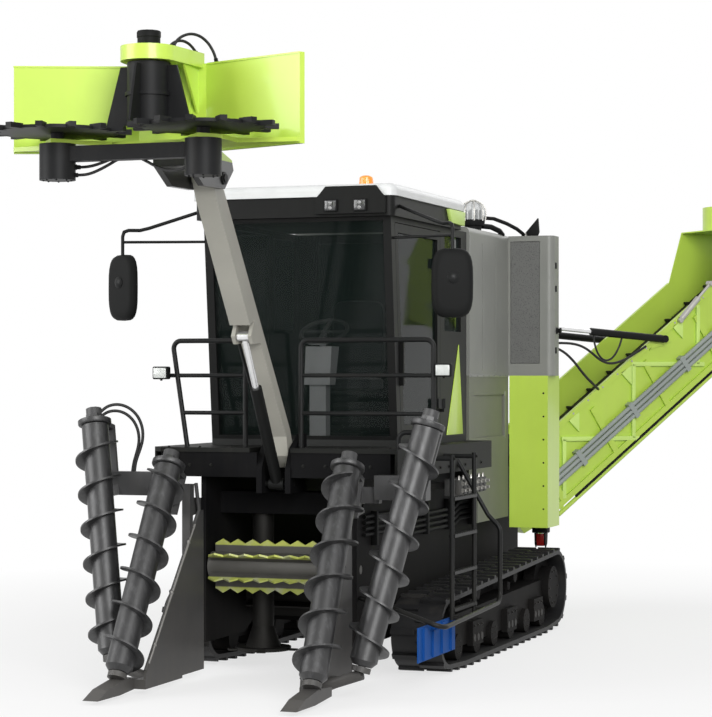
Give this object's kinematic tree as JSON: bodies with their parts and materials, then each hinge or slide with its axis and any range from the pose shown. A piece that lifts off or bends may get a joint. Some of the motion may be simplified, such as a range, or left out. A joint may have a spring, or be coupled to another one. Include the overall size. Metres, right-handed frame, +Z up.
{
  "type": "tracked sugarcane harvester",
  "caption": "Tracked cane harvester with a raised topper, scroll crop dividers, a glazed cab and a slewing elevator swung to its left.",
  "frame": {"origin": "on the ground below the middle of the whole machine's box", "axes": "+Z up, -Y to the machine's front, +X to its left"},
  "size_m": [4.5737, 11.437, 4.6394],
  "materials": {
    "lime_paint": "gloss lime green paint",
    "dark_paint": "satin dark grey paint",
    "hood_paint": "satin grey paint",
    "black_paint": "satin black paint",
    "arm_paint": "satin grey-brown paint",
    "deck_paint": "satin dark olive grey paint",
    "rubber": "matte rubber",
    "hose_rubber": "matte hose rubber",
    "blue_plastic": "matte blue plastic",
    "white_plastic": "gloss white moulding",
    "black_plastic": "matte black plastic",
    "cab_glass": "tinted safety glass",
    "amber_lens": "amber lens",
    "lamp_lens": "clear lamp lens in a dark body",
    "seat_fabric": "dark woven fabric",
    "engine_iron": "painted casting",
    "bare_steel": "worn steel",
    "chrome": "polished rod"
  },
  "bodies": {
    "chassis": {"tracks": "rubber", "track_frames": "dark_paint", "side_plates": "dark_paint", "cross_frame": "dark_paint", "deck": "deck_paint", "guard_rails": "black_paint", "boarding_ladder": "black_paint", "track_skirt": "blue_plastic", "cab_floor": "black_paint", "cab_ends": "black_paint", "cab_sides": "black_paint", "cab_glass": "cab_glass", "cab_visor": "black_paint", "cab_roof": "white_plastic", "beacon": "amber_lens", "work_lamps": "lamp_lens", "mirrors": "black_plastic", "seat": "seat_fabric", "steering_column": "black_plastic", "hood": "hood_paint", "hood_sides": "hood_paint", "engine": "engine_iron", "cooling_boxes": "hood_paint", "side_boxes": "lime_paint", "exhaust": "bare_steel", "extractor_chamber": "hood_paint"},
    "door": {"cab_door": "black_paint", "door_glass": "cab_glass"},
    "fan": {"extractor_fan": "bare_steel"},
    "fan_hood": {"extractor_hood": "lime_paint"},
    "topper_boom": {"topper_arm": "arm_paint"},
    "topper_lift_barrel": {"topper_barrel": "black_paint"},
    "topper_lift_rod": {"topper_rod": "chrome"},
    "topper_level_link": {"topper_link": "black_paint"},
    "topper": {"topper_head": "lime_paint", "topper_motors": "dark_paint", "topper_hoses": "hose_rubber"},
    "gather_left": {"left_gather_disc": "dark_paint"},
    "gather_right": {"right_gather_disc": "dark_paint"},
    "shredder": {"topper_drum": "dark_paint"},
    "divider_left": {"left_divider": "dark_paint"},
    "divider_right": {"right_divider": "dark_paint", "divider_hoses": "hose_rubber"},
    "scroll_left_inner": {"left_inner_scroll": "dark_paint"},
    "scroll_left_outer": {"left_outer_scroll": "dark_paint"},
    "scroll_right_inner": {"right_inner_scroll": "dark_paint"},
    "scroll_right_outer": {"right_outer_scroll": "dark_paint"},
    "knockdown": {"knockdown_roller": "bare_steel"},
    "lifter": {"lift_roller": "bare_steel"},
    "cutter_left": {"left_base_cutter": "bare_steel"},
    "cutter_right": {"right_base_cutter": "bare_steel"},
    "slew": {"elevator_mast": "lime_paint"},
    "elevator": {"elevator_walls": "lime_paint", "elevator_tray": "lime_paint", "elevator_chain": "bare_steel", "elevator_top": "lime_paint", "elevator_pipes": "bare_steel"},
    "flap": {"elevator_flap": "lime_paint"},
    "lift_barrels": {"elevator_barrels": "black_paint"},
    "lift_rods": {"elevator_rods": "chrome"}
  },
  "joints": [
    {"name": "cab_door", "type": "hinge", "parent": "chassis", "child": "door", "pos_m": [0.0415, -0.914, 2.6], "axis": [0, 0, 1], "range_deg": [0, 80]},
    {"name": "extractor_fan", "type": "hinge", "parent": "chassis", "child": "fan", "pos_m": [-0.7675, 1.614, 2.83], "axis": [0, 0, 1], "continuous": true},
    {"name": "extractor_hood", "type": "hinge", "parent": "chassis", "child": "fan_hood", "pos_m": [-0.7675, 1.614, 3.0403], "axis": [0, 0, 1], "range_deg": [-150, 150]},
    {"name": "topper_lift", "type": "hinge", "parent": "chassis", "child": "topper_boom", "pos_m": [-0.7675, -2.496, 1.7], "axis": [1, 0, 0], "range_deg": [0, 48]},
    {"name": "topper_level", "type": "hinge", "parent": "topper_boom", "child": "topper", "pos_m": [-0.7675, -3.98548, 3.72028], "axis": [1, 0, 0], "range_deg": [-48, 0]},
    {"name": "topper_link", "type": "hinge", "parent": "chassis", "child": "topper_level_link", "pos_m": [-0.9305, -2.37527, 1.78901], "axis": [1, 0, 0], "range_deg": [0, 48]},
    {"name": "topper_cylinder", "type": "hinge", "parent": "chassis", "child": "topper_lift_barrel", "pos_m": [-0.7675, -2.596, 1.5], "axis": [1, 0, 0], "range_deg": [0, 46.3]},
    {"name": "topper_rod", "type": "slide", "parent": "topper_lift_barrel", "child": "topper_lift_rod", "axis": [0, -0.514, 0.8578], "range_m": [-0.1791, 0]},
    {"name": "gather_left", "type": "hinge", "parent": "topper", "child": "gather_left", "pos_m": [-0.2425, -5.23548, 3.93028], "axis": [0, 0, 1], "continuous": true},
    {"name": "gather_right", "type": "hinge", "parent": "topper", "child": "gather_right", "pos_m": [-1.2925, -5.23548, 3.93028], "axis": [0, 0, 1], "continuous": true},
    {"name": "shredder", "type": "hinge", "parent": "topper", "child": "shredder", "pos_m": [-0.7675, -4.93548, 4.00028], "axis": [0, 0, 1], "continuous": true},
    {"name": "divider_left_lift", "type": "hinge", "parent": "chassis", "child": "divider_left", "pos_m": [-0.1125, -2.516, 1.33], "axis": [-1, 0, 0], "range_deg": [0, 10]},
    {"name": "scroll_left_inner", "type": "hinge", "parent": "divider_left", "child": "scroll_left_inner", "pos_m": [-0.0145, -3.84, 0.175], "axis": [-0.0186, 0.4859, 0.8738], "continuous": true},
    {"name": "scroll_left_outer", "type": "hinge", "parent": "divider_left", "child": "scroll_left_outer", "pos_m": [0.2195, -3.451, 0.25], "axis": [0.1971, 0.2392, 0.9507], "continuous": true},
    {"name": "divider_right_lift", "type": "hinge", "parent": "chassis", "child": "divider_right", "pos_m": [-1.4225, -2.516, 1.33], "axis": [-1, 0, 0], "range_deg": [0, 10]},
    {"name": "scroll_right_inner", "type": "hinge", "parent": "divider_right", "child": "scroll_right_inner", "pos_m": [-1.5205, -3.84, 0.175], "axis": [0.0186, 0.4859, 0.8738], "continuous": true},
    {"name": "scroll_right_outer", "type": "hinge", "parent": "divider_right", "child": "scroll_right_outer", "pos_m": [-1.7545, -3.451, 0.25], "axis": [-0.1971, 0.2392, 0.9507], "continuous": true},
    {"name": "knockdown_roller", "type": "hinge", "parent": "chassis", "child": "knockdown", "pos_m": [-0.7675, -2.486, 0.85], "axis": [1, 0, 0], "continuous": true},
    {"name": "lift_roller", "type": "hinge", "parent": "chassis", "child": "lifter", "pos_m": [-0.7675, -1.706, 0.56], "axis": [1, 0, 0], "continuous": true},
    {"name": "base_cutter_left", "type": "hinge", "parent": "chassis", "child": "cutter_left", "pos_m": [-0.4775, -2.166, 0.17], "axis": [0, 0, 1], "continuous": true},
    {"name": "base_cutter_right", "type": "hinge", "parent": "chassis", "child": "cutter_right", "pos_m": [-1.0575, -2.166, 0.17], "axis": [0, 0, 1], "continuous": true},
    {"name": "elevator_slew", "type": "hinge", "parent": "chassis", "child": "slew", "pos_m": [-0.7675, 2.664, 1], "axis": [0, 0, 1], "range_deg": [-40, 130]},
    {"name": "elevator_lift", "type": "hinge", "parent": "slew", "child": "elevator", "pos_m": [-0.52001, 2.91149, 1], "axis": [0.7071, -0.7071, 0], "range_deg": [-12, 8]},
    {"name": "elevator_cylinders", "type": "hinge", "parent": "slew", "child": "lift_rods", "pos_m": [-0.68265, 2.74885, 2.84], "axis": [0.7071, -0.7071, 0], "range_deg": [-9.52, 6.45]},
    {"name": "elevator_barrels", "type": "slide", "parent": "lift_rods", "child": "lift_barrels", "axis": [0.7049, 0.7049, -0.0784], "range_m": [-0.2531, 0.3787]},
    {"name": "elevator_flap", "type": "hinge", "parent": "elevator", "child": "flap", "pos_m": [1.86577, 5.29727, 3.6], "axis": [0.7071, -0.7071, 0], "range_deg": [0, 50]}
  ],
  "couplings": [
    {"joint": "topper_level", "follows": "topper_lift", "ratio": -1},
    {"joint": "topper_link", "follows": "topper_lift", "ratio": 1},
    {"joint": "topper_cylinder", "follows": "topper_lift", "ratio": 0.95411},
    {"joint": "topper_rod", "follows": "topper_lift", "m_per_rad": -0.21135},
    {"joint": "elevator_cylinders", "follows": "elevator_lift", "ratio": 0.76858},
    {"joint": "elevator_barrels", "follows": "elevator_lift", "m_per_rad": -1.7985}
  ]
}
